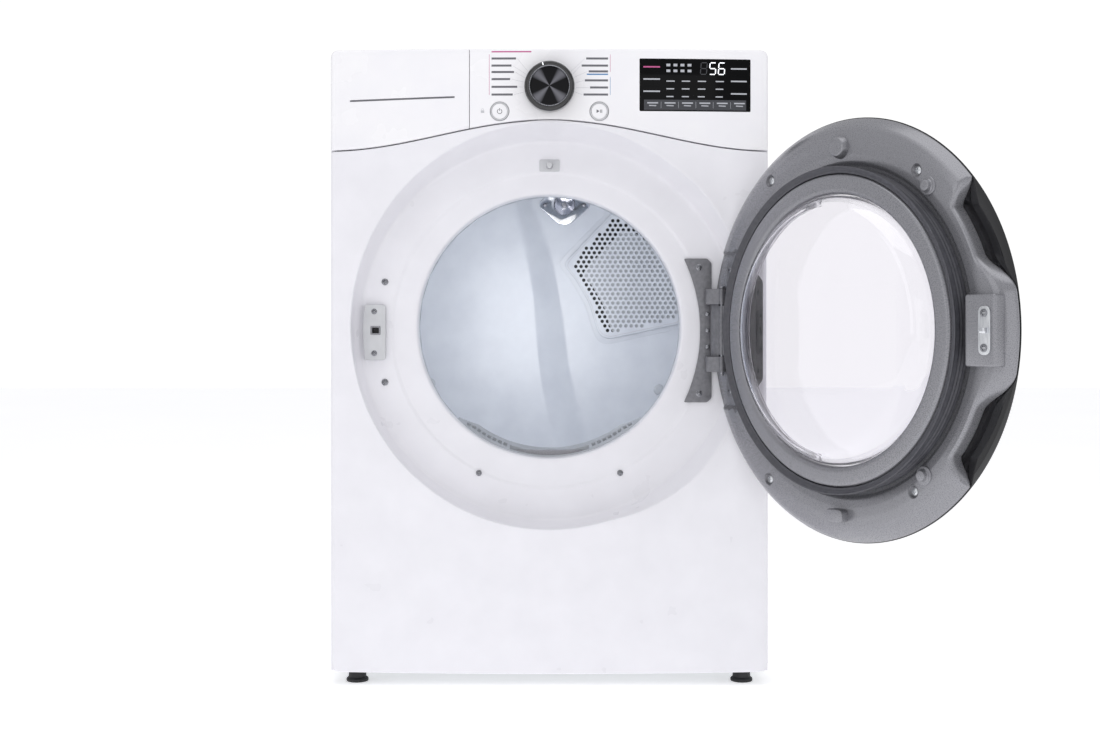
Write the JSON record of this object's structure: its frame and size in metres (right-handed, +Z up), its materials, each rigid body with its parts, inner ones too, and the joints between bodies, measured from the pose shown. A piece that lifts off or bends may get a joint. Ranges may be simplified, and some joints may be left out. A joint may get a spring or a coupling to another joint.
{
  "type": "clothes dryer",
  "caption": "Front-loading clothes dryer with bowed white front, round glass door swung open on a side hinge, program dial, touch display, steam water drawer and rear exhaust.",
  "frame": {"origin": "middle of the cabinet in width and depth, on the pressed pad under the base pan; the feet reach 22 mm below it", "axes": "+Z up, +X to the right seen from the front, the front faces -Y"},
  "size_m": [0.9329, 1.1997, 0.994],
  "materials": {
    "white_steel": "white powder coat, satin",
    "white_plastic": "white moulded plastic, satin gloss",
    "galvanised_steel": "bare galvanised sheet",
    "drum_enamel": "pale blue-grey enamel",
    "grey_frame": "metallic grey moulded plastic",
    "hinge_steel": "dark grey zinc finish",
    "black_gloss": "black high gloss",
    "display_black": "black touch glass",
    "black_plastic": "black moulded plastic",
    "rubber": "dark rubber",
    "clear_glass": "clear pressed glass",
    "felt": "grey pressed felt",
    "aluminium": "satin",
    "chrome": "bright plated",
    "light_plastic": "light grey moulded plastic",
    "circuit_board": "green lacquered board"
  },
  "bodies": {
    "cabinet": {"left_side_panel": "white_steel", "right_side_panel": "white_steel", "top_panel": "white_steel", "rear_panel": "galvanised_steel", "terminal_cover": "galvanised_steel", "base_pan": "galvanised_steel", "front_panel": "white_steel", "control_fascia": "white_plastic", "display_window": "display_black", "control_board": "circuit_board", "front_bulkhead": "galvanised_steel", "rear_bulkhead": "drum_enamel", "inlet_grille": "galvanised_steel", "outlet_grille": "grey_frame", "lamp_bezel": "chrome", "lamp_lens": "clear_glass", "front_felt_seal": "felt", "rear_felt_seal": "felt", "lint_duct": "light_plastic", "blower_housing": "light_plastic", "exhaust_duct": "galvanised_steel", "heater_housing": "galvanised_steel", "rear_air_duct": "galvanised_steel", "motor_body": "galvanised_steel", "drive_belt": "rubber", "latch_catch": "grey_frame", "hinge_cabinet_leaf": "hinge_steel", "hinge_pin": "hinge_steel", "drawer_housing": "light_plastic"},
    "door": {"door_frame": "grey_frame", "door_outer_ring": "black_gloss", "door_outer_window": "clear_glass", "door_glass": "clear_glass", "door_gasket": "rubber", "door_hinge_cover": "black_plastic", "door_strike": "aluminium", "hinge_door_leaf": "hinge_steel"},
    "drum": {"drum_shell": "drum_enamel", "lifter_1": "drum_enamel", "lifter_2": "drum_enamel", "lifter_3": "drum_enamel"},
    "motor_rotor": {"motor_shaft": "aluminium", "blower_wheel": "black_plastic"},
    "idler_arm": {"idler_arm": "galvanised_steel"},
    "idler_pulley": {"idler_pulley": "black_plastic"},
    "roller_front_left": {"roller_front_left": "rubber"},
    "roller_front_right": {"roller_front_right": "rubber"},
    "roller_rear_left": {"roller_rear_left": "rubber"},
    "roller_rear_right": {"roller_rear_right": "rubber"},
    "program_dial": {"program_dial": "black_gloss"},
    "power_button": {"power_button": "light_plastic"},
    "start_button": {"start_button": "light_plastic"},
    "door_switch": {"door_switch_plunger": "light_plastic"},
    "drawer": {"drawer_front": "white_plastic", "drawer_tray": "light_plastic"},
    "lint_filter": {"lint_filter": "grey_frame"},
    "foot_front_left": {"foot_front_left": "black_plastic"},
    "foot_front_right": {"foot_front_right": "black_plastic"},
    "foot_rear_left": {"foot_rear_left": "black_plastic"},
    "foot_rear_right": {"foot_rear_right": "black_plastic"}
  },
  "joints": [
    {"name": "door_hinge", "type": "hinge", "parent": "cabinet", "child": "door", "pos_m": [0.2695, -0.3525, 0.534], "axis": [0, 0, 1], "range_deg": [-123.3, 0]},
    {"name": "drum_spin", "type": "hinge", "parent": "cabinet", "child": "drum", "pos_m": [0, 0, 0.54], "axis": [0, 1, 0], "continuous": true},
    {"name": "motor_spin", "type": "hinge", "parent": "cabinet", "child": "motor_rotor", "pos_m": [0.12, 0, 0.105], "axis": [0, 1, 0], "continuous": true},
    {"name": "idler_arm_swing", "type": "hinge", "parent": "cabinet", "child": "idler_arm", "pos_m": [0.19, 0.0364, 0.09], "axis": [0, -1, 0], "range_deg": [0, 10], "stiffness_Nm_per_rad": 3, "springref_deg": -2.86},
    {"name": "idler_pulley_spin", "type": "hinge", "parent": "idler_arm", "child": "idler_pulley", "pos_m": [0.23, 0.025, 0.13], "axis": [0, 1, 0], "continuous": true},
    {"name": "roller_front_left_spin", "type": "hinge", "parent": "cabinet", "child": "roller_front_left", "pos_m": [-0.257, -0.211, 0.283], "axis": [0, 1, 0], "continuous": true},
    {"name": "roller_rear_left_spin", "type": "hinge", "parent": "cabinet", "child": "roller_rear_left", "pos_m": [-0.257, 0.273, 0.283], "axis": [0, 1, 0], "continuous": true},
    {"name": "roller_front_right_spin", "type": "hinge", "parent": "cabinet", "child": "roller_front_right", "pos_m": [0.257, -0.211, 0.283], "axis": [0, 1, 0], "continuous": true},
    {"name": "roller_rear_right_spin", "type": "hinge", "parent": "cabinet", "child": "roller_rear_right", "pos_m": [0.257, 0.273, 0.283], "axis": [0, 1, 0], "continuous": true},
    {"name": "dial_turn", "type": "hinge", "parent": "cabinet", "child": "program_dial", "pos_m": [0, -0.38, 0.911], "axis": [0, 1, 0], "continuous": true},
    {"name": "power_press", "type": "slide", "parent": "cabinet", "child": "power_button", "axis": [0, 1, 0], "range_m": [0, 0.002], "stiffness_N_per_m": 400},
    {"name": "start_press", "type": "slide", "parent": "cabinet", "child": "start_button", "axis": [0, 1, 0], "range_m": [0, 0.002], "stiffness_N_per_m": 400},
    {"name": "door_switch_press", "type": "slide", "parent": "cabinet", "child": "door_switch", "axis": [0, 1, 0], "range_m": [0, 0.004], "stiffness_N_per_m": 300},
    {"name": "drawer_slide", "type": "slide", "parent": "cabinet", "child": "drawer", "axis": [0, -1, 0], "range_m": [0, 0.2]},
    {"name": "lint_filter_lift", "type": "slide", "parent": "cabinet", "child": "lint_filter", "axis": [0, 0, 1], "range_m": [0, 0.15]},
    {"name": "foot_front_left_screw", "type": "slide", "parent": "cabinet", "child": "foot_front_left", "axis": [0, 0, -1], "range_m": [0, 0.015]},
    {"name": "foot_front_right_screw", "type": "slide", "parent": "cabinet", "child": "foot_front_right", "axis": [0, 0, -1], "range_m": [0, 0.015]},
    {"name": "foot_rear_left_screw", "type": "slide", "parent": "cabinet", "child": "foot_rear_left", "axis": [0, 0, -1], "range_m": [0, 0.015]},
    {"name": "foot_rear_right_screw", "type": "slide", "parent": "cabinet", "child": "foot_rear_right", "axis": [0, 0, -1], "range_m": [0, 0.015]}
  ],
  "couplings": [
    {"joint": "motor_spin", "follows": "drum_spin", "ratio": 32.45},
    {"joint": "idler_pulley_spin", "follows": "drum_spin", "ratio": 14.75},
    {"joint": "roller_front_left_spin", "follows": "drum_spin", "ratio": -8.5395},
    {"joint": "roller_rear_left_spin", "follows": "drum_spin", "ratio": -8.5395},
    {"joint": "roller_front_right_spin", "follows": "drum_spin", "ratio": -8.5395},
    {"joint": "roller_rear_right_spin", "follows": "drum_spin", "ratio": -8.5395}
  ]
}
